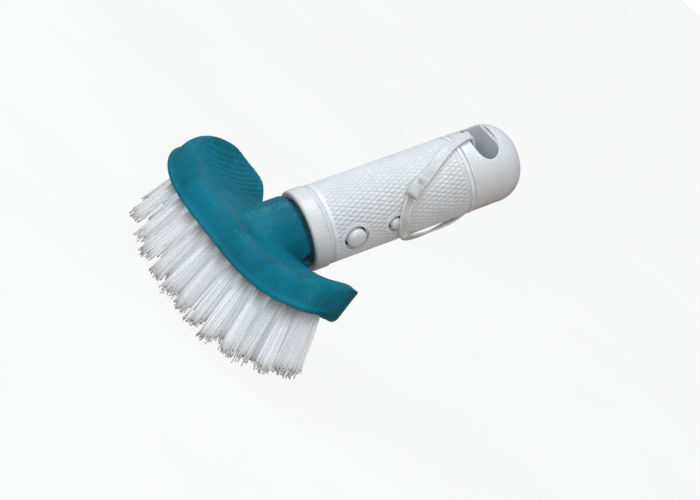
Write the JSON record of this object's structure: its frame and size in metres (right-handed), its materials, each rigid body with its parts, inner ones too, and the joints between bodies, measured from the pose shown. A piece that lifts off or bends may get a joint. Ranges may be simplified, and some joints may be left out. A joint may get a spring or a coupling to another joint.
{
  "type": "pool wall brush",
  "caption": "Hand-held pool wall brush: curved bristle head on a leaning collar, with a clip-on textured grip, press buttons, lock pins and a hang slot.",
  "frame": {"origin": "middle of the head's bristle-side rim plane, where the handle's axis meets it", "axes": "+Z from the bristles to the head's back, +Y along the head, and the handle leans from +Z towards -X by 45 degrees"},
  "size_m": [0.1307, 0.1476, 0.1378],
  "materials": {
    "teal_plastic": "satin moulded plastic",
    "bristle": "nylon filament",
    "steel": "bright spring steel",
    "white_gloss": "smooth moulded plastic",
    "warm_white": "smooth moulded plastic",
    "white_grip": "moulded diamond pattern",
    "clear_nylon": "milky translucent nylon"
  },
  "bodies": {
    "brush": {"head_body": "teal_plastic", "tufts_front": "bristle", "tufts_mid_front": "bristle", "tufts_centre": "bristle", "tufts_mid_rear": "bristle", "tufts_rear": "bristle", "tuft_anchors": "steel", "clip_bow": "steel", "handle_core": "white_gloss", "front_collar": "warm_white", "grip_sleeve": "white_grip", "end_cap": "white_gloss", "cable_tie": "clear_nylon"},
    "press_left": {"clip_arm_left": "steel", "press_button_left": "white_gloss", "lock_pin_left": "white_gloss", "clip_rivets_left": "steel"},
    "press_right": {"clip_arm_right": "steel", "press_button_right": "white_gloss", "lock_pin_right": "white_gloss", "clip_rivets_right": "steel"}
  },
  "joints": [
    {"name": "press_left_slide", "type": "slide", "parent": "brush", "child": "press_left", "axis": [0, 1, 0], "range_m": [0, 0.0053], "stiffness_N_per_m": 2000},
    {"name": "press_right_slide", "type": "slide", "parent": "brush", "child": "press_right", "axis": [0, -1, 0], "range_m": [0, 0.0053], "stiffness_N_per_m": 2000}
  ]
}
